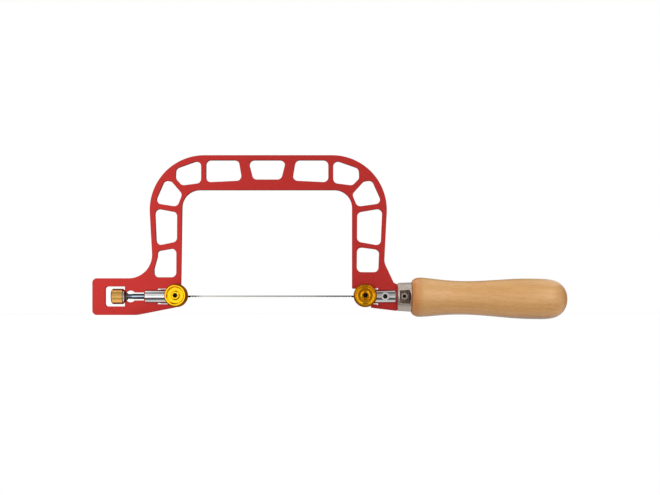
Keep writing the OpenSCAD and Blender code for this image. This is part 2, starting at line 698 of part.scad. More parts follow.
// The handle's outline: a quarter round to the shoulder, a smooth fall to the waist,
// a smooth rise to the belly and a blunt round end
shoulder_s = handle_len * shoulder_share;
waist_s = handle_len * waist_share;
belly_s = handle_len * belly_share;
mouth_r = ferrule_back_d / 2;
handle_front = [for (i = [0:handle_steps]) let (a = 90 * i / handle_steps)
    [between(mouth_r, shoulder_d / 2, sin(a)), shoulder_s * (1 - cos(a))]];
handle_neck = [for (i = [1:handle_steps])
    let (t = i / handle_steps, fall = (1 - cos(180 * pow(t, waist_ease))) / 2)
    [between(shoulder_d, waist_d, fall) / 2, between(shoulder_s, waist_s, t)]];
handle_grip = [for (i = [1:handle_steps]) let (t = i / handle_steps)
    [between(waist_d, belly_d, (1 - cos(180 * t)) / 2) / 2, between(waist_s, belly_s, t)]];
handle_end = [for (i = [1:handle_steps]) let (a = 90 * i / handle_steps)
    [belly_d / 2 * cos(a), between(belly_s, handle_len, pow(sin(a), 2 / end_squareness))]];

module handle() {
    color("burlywood") on_handle_axis() difference() {
        translate([0, 0, ferrule_len])
            turned(concat([[0, 0]], handle_front, handle_neck, handle_grip, handle_end));
        translate([0, 0, ferrule_len - overrun])
            cylinder(h = spigot_len + overrun + fit_gap, d = spigot_d + 2 * fit_gap);
        translate([0, 0, ferrule_len])
            cylinder(h = insert_start + insert_len - ferrule_len, d = insert_d + 2 * fit_gap);
        translate([0, 0, ferrule_len])
            cylinder(h = stud_start + stud_len - ferrule_len + stop_gap, d = stud_d + 2 * fit_gap);
    }
}

frame();
front_barrel();
tension_rod();
rod_lock_pin();
tension_seat();
tension_knob();
front_thumb_knob();
front_clamp_screw();
front_clamp_pad();
blade();
rear_barrel();
rear_fork_screw();
rear_thumb_knob();
rear_clamp_screw();
rear_clamp_pad();
ferrule();
ferrule_set_screw();
handle_stud();
handle_insert();
handle();
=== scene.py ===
"""Fret saw: a red windowed bow, yellow thumb knobs, a brass tension knob and a beech handle."""
import math

import bpy
import numpy as np
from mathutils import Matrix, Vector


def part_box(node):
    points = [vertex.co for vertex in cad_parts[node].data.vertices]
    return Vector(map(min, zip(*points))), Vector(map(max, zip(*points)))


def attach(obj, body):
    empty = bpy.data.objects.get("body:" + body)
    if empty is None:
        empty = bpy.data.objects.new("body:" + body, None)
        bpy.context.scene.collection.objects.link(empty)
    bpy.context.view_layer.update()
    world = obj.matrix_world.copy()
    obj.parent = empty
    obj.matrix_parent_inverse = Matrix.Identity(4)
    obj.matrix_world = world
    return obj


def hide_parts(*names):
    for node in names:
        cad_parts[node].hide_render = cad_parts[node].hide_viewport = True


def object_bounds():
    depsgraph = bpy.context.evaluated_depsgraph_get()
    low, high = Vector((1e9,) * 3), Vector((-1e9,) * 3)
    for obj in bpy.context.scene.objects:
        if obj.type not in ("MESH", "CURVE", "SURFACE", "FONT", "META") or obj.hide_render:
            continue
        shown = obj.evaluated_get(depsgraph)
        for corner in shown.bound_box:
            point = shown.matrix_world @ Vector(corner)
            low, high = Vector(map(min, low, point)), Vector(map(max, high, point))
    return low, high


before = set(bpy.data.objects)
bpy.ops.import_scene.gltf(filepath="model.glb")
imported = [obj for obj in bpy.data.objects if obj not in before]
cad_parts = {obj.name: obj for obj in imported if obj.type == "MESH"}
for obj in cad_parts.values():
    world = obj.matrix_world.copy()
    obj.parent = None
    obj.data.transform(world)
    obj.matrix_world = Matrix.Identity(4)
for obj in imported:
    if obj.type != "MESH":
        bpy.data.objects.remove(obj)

bl_info = {
    "name": "Fret Saw",
    "version": (1, 0, 0),
    "blender": (4, 5, 0),
    "location": "View3D > Sidebar > Fret Saw",
    "description": "Finishes a fret saw: anodised bow and knobs, turned steel and brass, and a beech handle",
    "category": "Object",
}

MM = 0.001
CAD_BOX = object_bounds()

# Smoothness of turned pieces, of the knurled ones, of the rod and its thread, of rounded edges and of
# each curve in the handle's outline
TURN_STEPS = 144
KNURL_STEPS = 4 * TURN_STEPS
ROD_STEPS = 48
POINTS_PER_THREAD = 12
FILLET_STEPS = 5
CURVE_STEPS = 28

# Greatest distance from a rounded edge to the point that keeps the face beside it flat, in millimetres
HOLD = 0.04

# Angles, in degrees, past which an edge is shaded sharp
TURNED_SHARP = 35.0
PLATE_SHARP = 30.0

# Grooves of the knurling round the thumb knobs and round the tension knob
KNOB_GROOVES = 72
BRASS_GROOVES = 48

# Height of the thumb knobs' axes above the blade line, in millimetres
SCREW_LIFT = 0.5

# Width across a hexagon's corners, and a little over, where it is 1 across its flats
CORNER_WIDTH = 1.16

# Slope of the handle's axis, and growth of the ferrule's radius along it
HANDLE_TILT = math.radians(0.84)
FERRULE_TAPER = 0.0426

# Growth rings of the handle's wood, in a metre across them
RINGS_PER_METRE = 330.0

# The handle's outline: places of its shoulder, waist and belly as shares of its length, how early the
# neck falls to the waist (1 is a plain cosine), and the power of the superellipse at its end
SHOULDER_SHARE = 0.053
WAIST_SHARE = 0.327
BELLY_SHARE = 0.77
NECK_POWER = 0.75
END_POWER = 4.2

# The photograph's own frame and its camera, which the render repeats: sizes and the row of the horizon
# in pixels, the lens and its sensor in millimetres, and the camera's place in millimetres
PHOTO_W = 660
PHOTO_H = 495
HORIZON_ROW = 312.0
SENSOR = 36.0
LENS = 57.27
CAMERA_AT = (39.2, -701.6, -10.4)

# The floor, in metres: half its width, and its distance below the handle
FLOOR_REACH = 4.0
FLOOR_GAP = 0.0002


def paint(red, green, blue):
    """A colour given as it looks on screen, 0 to 255, as the linear colour that shaders use."""
    shares = [v / 255 for v in (red, green, blue)]
    return tuple(s / 12.92 if s <= 0.04045 else ((s + 0.055) / 1.055) ** 2.4 for s in shares)


def size(name, default_mm, description):
    """A length that a user may change, in millimetres."""
    return bpy.props.FloatProperty(
        name=name, description=description, default=default_mm, min=0.0, precision=2)


def colour(name, default, description):
    """A colour that a user may change."""
    return bpy.props.FloatVectorProperty(
        name=name, description=description, default=default, subtype="COLOR", min=0.0, max=1.0)


class SawSizes(bpy.types.PropertyGroup):
    """Sizes of the pieces that are modelled here, in millimetres."""
    knob_back: size("Knob back", 5.15, "Distance of the thumb knobs' back from the frame's middle plane")
    knob_depth: size("Knob depth", 8.0, "Depth of a thumb knob")
    knob_d: size("Knob diameter", 15.5, "Diameter of a thumb knob")
    rim_d: size("Rim diameter", 13.5, "Diameter of a thumb knob's front rim")
    dish_d: size("Dish diameter", 11.7, "Diameter of the dish inside the rim")
    dish_floor_d: size("Dish floor", 10.6, "Diameter of the dish's floor")
    dish_depth: size("Dish depth", 2.0, "Depth of the dish")
    boss_d: size("Boss diameter", 5.0, "Diameter of the conical boss at its top")
    boss_foot_d: size("Boss foot", 6.0, "Diameter of the boss at the dish's floor")
    boss_h: size("Boss height", 1.7, "Height of the boss above the dish's floor")
    key_hole: size("Key hole", 3.0, "Width across the flats of the hexagonal hole")
    key_hole_len: size("Key hole length", 1.6, "Length of the hexagonal hole")
    screw_bore_d: size("Screw bore", 5.08, "Diameter of the bore that holds the clamp screw")
    knurl_depth: size("Knurl depth", 0.16, "Depth of the knurling on the thumb knobs")
    brass_knurl_depth: size("Brass knurl depth", 0.012, "Depth of the knurling on the tension knob")
    rod_bore_d: size("Rod bore", 3.66, "Diameter of the tension knob's bore")
    thread_pitch: size("Thread pitch", 0.8, "Distance between the tension rod's threads")
    thread_depth: size("Thread depth", 0.3, "Depth of the tension rod's thread")
    thread_len: size("Thread length", 13.0, "Length of the tension rod's thread")
    seat_ring: size("Seat ring", 1.0, "Width of the tension seat's bright ring")
    edge_bevel: size("Edge bevel", 0.13, "Width of the broken edges of the frame plate")
    handle_len: size("Handle length", 103.9, "Length of the wooden handle")
    shoulder_d: size("Shoulder", 26.3, "Diameter of the shoulder behind the ferrule")
    waist_d: size("Waist", 22.4, "Diameter of the waist")
    belly_d: size("Belly", 27.0, "Diameter of the belly")
    mouth_d: size("Mouth", 19.6, "Diameter of the handle's front face")
    ferrule_len: size("Ferrule length", 9.4, "Length of the ferrule in front of the wood")
    ferrule_d: size("Ferrule diameter", 18.8, "Diameter of the ferrule's front")
    set_key: size("Set screw key", 2.5, "Width across the flats of the set screw's socket")
    spigot_d: size("Spigot bore", 12.08, "Diameter of the bore for the ferrule's spigot")
    spigot_len: size("Spigot bore depth", 9.04, "Depth of that bore")
    insert_d: size("Insert bore", 10.08, "Diameter of the bore for the threaded insert")
    insert_end: size("Insert bore depth", 22.3, "Depth of that bore")
    stud_d: size("Stud bore", 6.08, "Diameter of the bore for the stud")
    stud_end: size("Stud bore depth", 36.2, "Depth of that bore")
    handle_drop: size("Handle drop", 0.3, "Height that the ferrule's front sits below the blade line")


class SawColours(bpy.types.PropertyGroup):
    """Colours of the saw's finishes."""
    bow: colour("Bow", paint(190, 54, 51), "Red anodised plate")
    bow_edge: colour("Bow edge", paint(120, 50, 46), "Tint of the plate seen along its surface")
    knob: colour("Thumb knobs", paint(250, 204, 32), "Yellow anodised knobs")
    knob_edge: colour("Knob edge", paint(246, 206, 90), "Tint of the knobs seen along their surface")
    # Painted shade: this deeper amber stands for the shadow in the knobs' knurling
    knob_side_painted_shade: colour("Knob side", paint(172, 98, 26), "Knurled side of the knobs")
    brass: colour("Brass", paint(202, 154, 84), "Turned brass")
    steel: colour("Steel", paint(232, 232, 232), "Turned stainless steel")
    nickel: colour("Ferrule", paint(214, 202, 192), "Nickel-plated ferrule")
    # Painted reflection: this darker colour stands for the dark reflection on the milled flat
    flat: colour("Ferrule flat", paint(132, 114, 102), "Milled flat on the ferrule")
    screw: colour("Screws", paint(34, 32, 32), "Blackened screw steel")
    seat: colour("Tension seat", paint(204, 198, 184), "Steel seat of the tension knob")
    # Painted shade: the seat's cone is painted dark for the shade that falls on it
    seat_cone_shadow: colour("Seat cone", paint(112, 98, 92), "Stained cone of the seat")
    rod: colour("Rod", paint(190, 205, 222), "Polished steel rod")
    # Painted shade: the rod's top and bottom are painted this dark colour
    rod_side_painted_shade: colour("Rod side", paint(46, 38, 46), "Darkened sides of the rod")
    set_screw: colour("Set screw", paint(176, 166, 156), "Set screw in the ferrule")
    blade: colour("Blade", paint(203, 196, 189), "Spring steel of the blade")
    wood: colour("Wood", paint(221, 169, 102), "Beech, light parts")
    wood_dark: colour("Wood grain", paint(196, 140, 76), "Beech, dark parts")
    # End grain, and painted shade where the handle's ends turn away from the light
    end_grain_and_shade: colour("End grain", paint(186, 112, 42), "Beech where its end grain shows")


# Meshes

def axes_along(direction):
    """Three unit vectors, the third of them along the direction."""
    w = np.array(direction, float) / np.linalg.norm(direction)
    helper = np.array([0.0, 0.0, 1.0]) if abs(w[2]) < 0.9 else np.array([1.0, 0.0, 0.0])
    u = np.cross(helper, w)
    u /= np.linalg.norm(u)
    return u, np.cross(w, u), w


def front_of(node):
    """The middle of the side of a CAD node that faces the viewer, in millimetres."""
    low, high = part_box(node)
    return ((low[0] + high[0]) / 2 / MM, low[1] / MM, (low[2] + high[2]) / 2 / MM)


def link(name, mesh):
    """A new object for a mesh, at the origin."""
    piece = bpy.data.objects.new(name, mesh)
    bpy.context.scene.collection.objects.link(piece)
    return piece


def solid(name, points, faces):
    """A closed mesh whose faces point outwards: they are turned round if the enclosed volume,
    the sum of a . (b x c) / 6 over all triangles, comes out negative."""
    tri = np.array([f[:3] for f in faces] + [(f[0], f[2], f[3]) for f in faces if len(f) == 4])
    a, b, c = points[tri[:, 0]], points[tri[:, 1]], points[tri[:, 2]]
    if np.einsum("ij,ij->", a, np.cross(b, c)) < 0:
        faces = [f[::-1] for f in faces]
    mesh = bpy.data.meshes.new(name)
    mesh.from_pydata(points.tolist(), [], faces)
    mesh.validate()
    piece = link(name, mesh)
    smooth(piece, TURNED_SHARP)
    return piece


def smooth(piece, angle):
    """Smooth shading, with edges sharper than the angle kept sharp."""
    piece.data.polygons.foreach_set("use_smooth", np.ones(len(piece.data.polygons), bool))
    piece.data.set_sharp_from_angle(angle=math.radians(angle))


def turns(steps):
    """Evenly spaced angles round a full turn."""
    return np.linspace(0, 2 * np.pi, steps, endpoint=False)


def turned(name, radius, height, origin, direction, steps=TURN_STEPS):
    """A solid of revolution. radius is one value per point of the profile, or a grid of profile
    points by angles; point (i, j) lies at origin + r_ij (u cos a_j + v sin a_j) + h_i w.
    A profile whose ends lie on the axis is closed by a pole there, any other one is a closed loop."""
    angle = turns(steps)
    r = np.asarray(radius, float)
    h = np.repeat(np.asarray(height, float)[:, None], steps, 1)
    if r.ndim == 1:
        r = np.repeat(r[:, None], steps, 1)
    u, v, w = axes_along(direction)
    rays = np.cos(angle)[:, None] * u + np.sin(angle)[:, None] * v
    grid = np.array(origin, float) + r[:, :, None] * rays + h[:, :, None] * w
    rows = len(r)
    index = np.arange(rows * steps).reshape(rows, steps)
    poles = r.max(1) < 1e-9
    index[poles] = index[poles][:, :1]
    loop = not poles[0] and not poles[-1]
    low = index if loop else index[:-1]
    high = np.roll(index, -1, 0) if loop else index[1:]
    quads = np.stack([low, np.roll(low, -1, 1), np.roll(high, -1, 1), high], -1).reshape(-1, 4)
    at_low = quads[:, 0] == quads[:, 1]
    at_high = quads[:, 2] == quads[:, 3]
    faces = quads[~at_low & ~at_high].tolist()
    faces += quads[at_low][:, [0, 2, 3]].tolist() + quads[at_high][:, :3].tolist()
    used, flat = np.unique(np.concatenate([np.ravel(f) for f in faces]), return_inverse=True)
    counts = np.cumsum([0] + [len(f) for f in faces])
    faces = [flat[a:b].tolist() for a, b in zip(counts[:-1], counts[1:])]
    return solid(name, grid.reshape(-1, 3)[used] * MM, faces)


def rounded(corners):
    """A profile whose corners (r, h, fillet radius) are rounded: each corner with a radius becomes an
    arc that touches both edges at fillet / tan(half angle) from the corner. A point just outside each
    end of the arc keeps the faces beside it flat in their shading."""
    points = []
    count = len(corners)
    for i, (x, y, fillet) in enumerate(corners):
        at = np.array([x, y], float)
        if fillet == 0:
            points.append(at)
            continue
        before = np.array(corners[i - 1][:2], float) - at
        after = np.array(corners[(i + 1) % count][:2], float) - at
        room = min(np.linalg.norm(before), np.linalg.norm(after)) / 2
        before /= np.linalg.norm(before)
        after /= np.linalg.norm(after)
        half = math.acos(np.clip(before @ after, -1, 1)) / 2
        reach = min(fillet / math.tan(half), room)
        radius = reach * math.tan(half)
        inward = (before + after) / np.linalg.norm(before + after)
        centre = at + inward * radius / math.sin(half)
        hold = min(HOLD, (room - reach) / 2)
        start, end = at + before * reach - centre, at + after * reach - centre
        first = math.atan2(start[1], start[0])
        turn = (math.atan2(end[1], end[0]) - first + math.pi) % (2 * math.pi) - math.pi
        bend = first + turn * np.linspace(0, 1, FILLET_STEPS + 1)
        points.append(at + before * (reach + hold))
        points.extend(centre + radius * np.stack([np.cos(bend), np.sin(bend)], 1))
        points.append(at + after * (reach + hold))
    return np.array(points)


def refined(profile, step):
    """The same profile with points no further apart than step, so that a relief can vary along it."""
    ahead = np.roll(profile, -1, 0)
    parts = np.maximum(1, np.ceil(np.linalg.norm(ahead - profile, axis=1) / step)).astype(int)
    share = np.concatenate([np.arange(n) / n for n in parts])
    return np.repeat(profile, parts, 0) + share[:, None] * np.repeat(ahead - profile, parts, 0)


def plateau(x, low, high, ease):
    """1 between low and high, falling by 3 s^2 - 2 s^3 to 0 over the distance ease outside them."""
    share = np.clip(1 - np.maximum(low - x, x - high) / ease, 0, 1)
    return share * share * (3 - 2 * share)


def hexagon(across, angle):
    """Radius of a hexagon at each angle: half its width across flats over cos of the angle
    from the nearest flat's middle."""
    sixth = np.pi / 3
    return across / 2 / np.cos((angle % sixth) - sixth / 2)


def merged_copy(name, node):
    """A copy of a CAD node's mesh whose loose triangles share their corners."""
    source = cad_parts[node].data
    points = np.zeros(len(source.vertices) * 3, np.float32)
    source.vertices.foreach_get("co", points)
    source.calc_loop_triangles()
    corners = np.zeros(len(source.loop_triangles) * 3, np.int32)
    source.loop_triangles.foreach_get("vertices", corners)
    keys = np.round(points.reshape(-1, 3) / (MM * 0.001)).astype(np.int64)
    _, first, where = np.unique(keys, axis=0, return_index=True, return_inverse=True)
    triangles = where.ravel()[corners].reshape(-1, 3)
    real = (triangles[:, 0] != triangles[:, 1]) & (triangles[:, 1] != triangles[:, 2]) & (
        triangles[:, 2] != triangles[:, 0])
    mesh = bpy.data.meshes.new(name)
    mesh.from_pydata(points.reshape(-1, 3)[first].tolist(), [], triangles[real].tolist())
    mesh.validate()
    return link(name, mesh)


# Shader nodes

class Signal:
    """A socket's value that takes part in arithmetic: each operator adds one Math node."""

    def __init__(self, finish, socket):
        self.finish = finish
        self.socket = socket

    def math(self, operation, *values):
        """One Math node on these values."""
        settings = {"operation": operation}
        return self.finish.node("ShaderNodeMath", settings, dict(enumerate(values)))

    def __add__(self, other):
        return self.math("ADD", self, other)

    def __radd__(self, other):
        return self.math("ADD", other, self)

    def __sub__(self, other):
        return self.math("SUBTRACT", self, other)

    def __rsub__(self, other):
        return self.math("SUBTRACT", other, self)

    def __mul__(self, other):
        return self.math("MULTIPLY", self, other)

    def __rmul__(self, other):
        return self.math("MULTIPLY", other, self)

    def __pow__(self, other):
        return self.math("POWER", self, other)

    def abs(self):
        return self.math("ABSOLUTE", self)

    def most(self, other):
        """The greater of two values."""
        return self.math("MAXIMUM", self, other)

    def towards(self, value, share):
        """This value where the share is 0, the other value where it is 1."""
        return self + (value - self) * share

    def band(self, low, high, ease):
        """1 between low and high, and 0 beyond them by more than the ease."""
        return self.rise(low - ease, low) * (1.0 - self.rise(high, high + ease))

    def rise(self, low, high):
        """0 below low, 1 above high, and a smooth step between."""
        settings = {"interpolation_type": "SMOOTHSTEP"}
        return self.finish.node(
            "ShaderNodeMapRange", settings, {0: self, 1: low, 2: high, 3: 0.0, 4: 1.0})


class Finish:
    """One node tree, whose nodes all come from node()."""

    def __init__(self, tree):
        self.tree = tree
        tree.nodes.clear()

    def node(self, kind, settings=None, inputs=None, out=0):
        """Adds a node, sets its settings, then fills or links its inputs, and gives one output."""
        made = self.tree.nodes.new(kind)
        for key, value in (settings or {}).items():
            setattr(made, key, value)
        for key, value in (inputs or {}).items():
            if isinstance(value, Signal):
                self.tree.links.new(value.socket, made.inputs[key])
            elif made.inputs[key].type == "RGBA":
                made.inputs[key].default_value = (*value[:3], 1.0)
            else:
                made.inputs[key].default_value = value
        return Signal(self, made.outputs[out]) if made.outputs else None

    def blend(self, share, first, second):
        """A colour between two: the first where the share is 0, the second where it is 1."""
        return self.node("ShaderNodeMix", {"data_type": "RGBA"}, {0: share, 6: first, 7: second}, out=2)

    def place(self, stretch=(1.0, 1.0, 1.0), shift=(0.0, 0.0, 0.0), turn=(0.0, 0.0, 0.0)):
        """The place on the object, in metres, moved, turned and stretched."""
        here = self.node("ShaderNodeTexCoord", out="Object")
        return self.node("ShaderNodeMapping", None, {
            "Vector": here, "Scale": stretch, "Location": shift, "Rotation": turn})

    def parts(self, vector):
        """The three parts of a vector."""
        split = self.node("ShaderNodeSeparateXYZ", None, {0: vector})
        return [Signal(self, part) for part in split.socket.node.outputs]

    def noise(self, vector, scale, detail, roughness):
        """Noise from 0 to 1 with its middle at a half. The scale is in cells a metre."""
        return self.node("ShaderNodeTexNoise", None, {
            "Vector": vector, "Scale": scale, "Detail": detail, "Roughness": roughness})

    def strands(self, stretch, detail, roughness):
        """Noise whose cells a metre differ along x, y and z."""
        return self.noise(self.place(stretch=stretch), 1.0, detail, roughness)

    def bump(self, height, strength, distance):
        """A normal that follows a height. The distance, in metres, is the relief from 0 to 1."""
        return self.node(
            "ShaderNodeBump", None, {"Height": height, "Strength": strength, "Distance": distance})


def material(name, fixed, build):
    """A material with one Principled shader: fixed holds the values that are the same all over,
    and build returns those that vary over the surface."""
    made = bpy.data.materials.new(name)
    made.use_nodes = True
    finish = Finish(made.node_tree)
    surface = finish.node("ShaderNodeBsdfPrincipled", None, {**fixed, **build(finish)})
    finish.node("ShaderNodeOutputMaterial", None, {"Surface": surface})
    return made


def dress(piece, made):
    """Gives a piece one material."""
    piece.data.materials.clear()
    piece.data.materials.append(made)


def times(shade, factor):
    """A linear colour made darker or brighter."""
    return tuple(c * factor for c in shade)


def tinted(shade, factors):
    """A linear colour with a factor of its own for red, green and blue."""
    return tuple(c * f for c, f in zip(shade, factors))


def crossed(first, second):
    """The distance that two distances at right angles make."""
    return (first * first + second * second) ** 0.5


def around(finish, centre):
    """The place on the object, in metres, counted from a centre in millimetres."""
    return finish.parts(finish.place(shift=times(centre, -MM)))


def turning_marks(finish, axis, centre=(0.0, 0.0, 0.0)):
    """Fine rings left by a lathe: noise over the distance along the axis and the distance from it."""
    x, y, z = around(finish, centre)
    along, first, second = {"x": (x, y, z), "y": (y, x, z)}[axis]
    across = finish.node("ShaderNodeCombineXYZ", None, {0: along, 1: crossed(first, second), 2: 0.0})
    return finish.noise(across, scale=5200.0, detail=2.0, roughness=0.6)


def anodised_plate(shade, edge_shade):
    """Red anodised sheet: an even satin colour, slightly clouded, with a faint blasted grain."""
    def build(finish):
        here = finish.place()
        grain = finish.noise(here, scale=2600.0, detail=2.0, roughness=0.6)
        cloud = finish.noise(here, scale=45.0, detail=3.0, roughness=0.55)
        bright = tuple(min(1.0, c * 1.4 + 0.008) for c in shade)
        tone = finish.blend((cloud - 0.5).abs() * 0.5, shade, times(shade, 0.72))
        return {
            "Base Color": finish.blend(grain.rise(0.6, 0.85) * 0.3, tone, bright),
            "Roughness": 0.27 + cloud * 0.08 + grain * 0.06,
            "Normal": finish.bump(grain, strength=0.25, distance=0.00004),
        }
    return material("anodised_red_plate", {"Metallic": 0.75, "Specular Tint": edge_shade}, build)


def anodised_knob(name, colours, centre, rim_r):
    """Yellow anodised aluminium with lathe marks round the screw axis. The knurled side outside the
    rim's radius, in millimetres, is painted a deeper amber, as shade in the knurling."""
    def build(finish):
        marks = turning_marks(finish, "y", centre)
        x, _, z = around(finish, centre)
        outside = crossed(x, z).rise((rim_r - 0.05) * MM, (rim_r + 0.1) * MM)
        deep = tinted(colours.knob, (0.8, 0.62, 0.45))
        tone = finish.blend(marks.rise(0.4, 0.8) * 0.2, tuple(colours.knob), deep)
        return {
            # Painted shade: the knurled side outside the rim is a deeper amber, standing for the knurling's
            # shadow
            "Base Color": finish.blend(outside, tone, tuple(colours.knob_side_painted_shade)),
            "Roughness": 0.05 + marks * 0.06 + outside * 0.4,
            "Normal": finish.bump(marks, strength=0.06, distance=0.00002),
        }
    return material(name, {"Metallic": 1.0, "Specular Tint": tuple(colours.knob_edge)}, build)


def turned_metal(name, shade, axis="x", centre=(0.0, 0.0, 0.0), roughness=0.22, shadowed_socket_d=0.0):
    """Bare metal from the lathe: rings round its axis, and slight stains in colour and gloss. Within
    the socket's diameter of the centre the metal is painted nearly black, as the shade inside the socket."""
    def build(finish):
        marks = turning_marks(finish, axis, centre)
        cloud = finish.noise(finish.place(), scale=260.0, detail=3.0, roughness=0.6)
        tone = finish.blend(cloud.rise(0.35, 0.8) * 0.4, shade, times(shade, 0.8))
        # Painted shade: the socket is painted nearly black for the shade inside it
        if shadowed_socket_d:
            x, y, z = around(finish, centre)
            outside = crossed(x, z).rise(shadowed_socket_d * 0.49 * MM, shadowed_socket_d * 0.51 * MM)
            inside = (1.0 - outside) * y.rise(0.0, shadowed_socket_d * 0.1 * MM)
            tone = finish.blend(inside, tone, times(shade, 0.03))
        return {
            "Base Color": tone,
            "Roughness": roughness + marks * 0.06 + cloud * 0.04,
            "Normal": finish.bump(marks, strength=0.1, distance=0.00002),
        }
    return material(name, {"Metallic": 1.0}, build)


def seat_steel(shade, painted_cone_shadow, ring_end):
    """Turned steel whose cone, behind the bright ring, is duller and painted dark, as shade on the cone."""
    def build(finish):
        marks = turning_marks(finish, "x")
        x, _, _ = finish.parts(finish.place())
        # Painted shade: the cone behind the bright ring is painted dark
        cone = x.rise(ring_end * MM, (ring_end + 0.3) * MM)
        return {
            "Base Color": finish.blend(cone, shade, painted_cone_shadow),
            "Roughness": 0.2 + cone * 0.2 + marks * 0.06,
            "Normal": finish.bump(marks, strength=0.1, distance=0.00002),
        }
    return material("seat_steel", {"Metallic": 1.0}, build)


def drawn_rod(shade, painted_side_shadow, radius):
    """Polished rod, painted darker above and below, as shade where the plate's slot is close."""
    def build(finish):
        marks = turning_marks(finish, "x")
        _, _, z = finish.parts(finish.place())
        # Painted shade: the rod's top and bottom are painted dark
        close = z.abs().rise(0.0, 0.6 * radius * MM)
        return {
            "Base Color": finish.blend(close, shade, painted_side_shadow),
            "Roughness": 0.12 + marks * 0.06,
            "Normal": finish.bump(marks, strength=0.1, distance=0.00002),
        }
    return material("rod_steel", {"Metallic": 1.0}, build)


def plated_ferrule(shade, flat_dark_reflection, low_x, sizes):
    """Satin nickel with turning marks; the flat round the set screw is milled and smoother, and painted
    darker, as the dark reflection it shows.
    The flat is where the surface lies inside the ferrule's cone, whose front is at low_x."""
    def build(finish):
        marks = turning_marks(finish, "x")
        cloud = finish.noise(finish.place(), scale=420.0, detail=4.0, roughness=0.7)
        drop = sizes.handle_drop - low_x * math.sin(HANDLE_TILT)
        level = finish.place(turn=(0.0, -HANDLE_TILT, 0.0), shift=(0.0, 0.0, drop * MM))
        x, y, z = finish.parts(level)
        along = x - low_x * MM
        depth = along * FERRULE_TAPER - crossed(y, z) + sizes.ferrule_d / 2 * MM
        on_flat = depth.rise(0.1 * MM, 0.2 * MM) * along.rise(0.8 * MM, 1.0 * MM)
        tone = finish.blend(cloud.rise(0.3, 0.8) * 0.3, shade, times(shade, 0.8))
        # Painted reflection: the flat's darker, mottled colour stands for the dark reflection on it
        milled = finish.blend(cloud.rise(0.35, 0.7), flat_dark_reflection, times(flat_dark_reflection, 0.35))
        return {
            "Base Color": finish.blend(on_flat, tone, milled),
            "Roughness": (0.44 + marks * 0.1).towards(0.16 + cloud * 0.1, on_flat),
            "Normal": finish.bump(marks, strength=0.2, distance=0.00002),
        }
    return material("plated_ferrule", {"Metallic": 1.0}, build)


def spring_steel(shade, low_x):
    """Blade steel with fine lengthwise streaks. It is nearly black at its front end, up to 12.5 mm from
    it, and is painted darker again towards the rear clamp, as a painted dark reflection."""
    def build(finish):
        x, _, _ = finish.parts(finish.place())
        front_dark = 1.0 - x.rise(low_x + 12.5 * MM, low_x + 20.5 * MM)
        # Painted reflection: towards the rear clamp the blade is painted dark for the dark surroundings it
        # mirrors
        rear_painted_reflection = x.rise(low_x + 88.0 * MM, low_x + 112.0 * MM) * 0.9
        streaks = finish.strands((900.0, 1.0, 9000.0), detail=3.0, roughness=0.6)
        tone = finish.blend(streaks * 0.35, shade, times(shade, 0.7))
        return {
            "Base Color": finish.blend(
                front_dark.most(rear_painted_reflection), tone, tinted(shade, (0.045, 0.03, 0.025))),
            "Roughness": 0.04 + streaks * 0.04,
            "Normal": finish.bump(streaks, strength=0.01, distance=0.00002),
        }
    return material("blade_spring_steel", {"Metallic": 1.0}, build)


def beech(colours, low_x, high_x):
    """Turned beech under a satin varnish, deeper and duller in its end grain, and painted darker near both
    ends as shade where they turn away from the light. Growth rings are shells round a pith that lies outside
    the handle; fibres and short flecks are noise that is drawn out along the handle."""
    light, dark, end_grain_and_shade = (tuple(c) for c in (colours.wood, colours.wood_dark, colours.end_grain_and_shade))

    def build(finish):
        x, y, z = finish.parts(finish.place(turn=(0.0, -HANDLE_TILT, 0.0)))
        wander = finish.strands((9.0, 30.0, 30.0), detail=3.0, roughness=0.5)
        from_pith = crossed(y - 0.034 + wander * 0.004, z + 0.052 + x * 0.06)
        rings = (from_pith * RINGS_PER_METRE + wander * 1.2) * (2 * math.pi)
        bands = rings.math("SINE", rings) * 0.5 + 0.5
        fibre = finish.strands((42.0, 1500.0, 1500.0), detail=4.0, roughness=0.65)
        hair = finish.strands((120.0, 5200.0, 5200.0), detail=2.0, roughness=0.6)
        fleck = finish.strands((210.0, 1300.0, 1300.0), detail=1.0, roughness=0.4)
        cloud = finish.strands((18.0, 70.0, 70.0), detail=2.0, roughness=0.5)
        share = bands ** 2.0 * 0.12 + (fibre - 0.5) * 0.9 + (cloud - 0.5) * 0.6 + 0.22
        tone = finish.blend(share.rise(-0.1, 1.0), light, dark)
        tone = finish.blend(fleck.rise(0.58, 0.72) * 0.4, tone, tinted(dark, (0.95, 0.8, 0.62)))
        tone = finish.blend(hair.rise(0.3, 0.9) * 0.2, tone, times(dark, 0.7))
        # Both ends are painted darker: their end grain, and painted shade where they turn away from the
        # light
        front_end = 1.0 - x.rise((low_x + 0.5) * MM, (low_x + 9.0) * MM)
        ends = front_end.most(x.rise((high_x - 7.0) * MM, high_x * MM))
        return {
            "Base Color": finish.blend(ends * 0.75, tone, end_grain_and_shade),
            "Roughness": 0.42 + fibre * 0.12,
            "Coat Weight": 1.0 - ends * 0.7,
            "Normal": finish.bump(
                hair + fibre * 0.6 - fleck.rise(0.62, 0.74) * 0.4, strength=0.12, distance=0.00006),
        }
    return material("varnished_beech", {"Coat Roughness": 0.24}, build)


# Shapes of the pieces

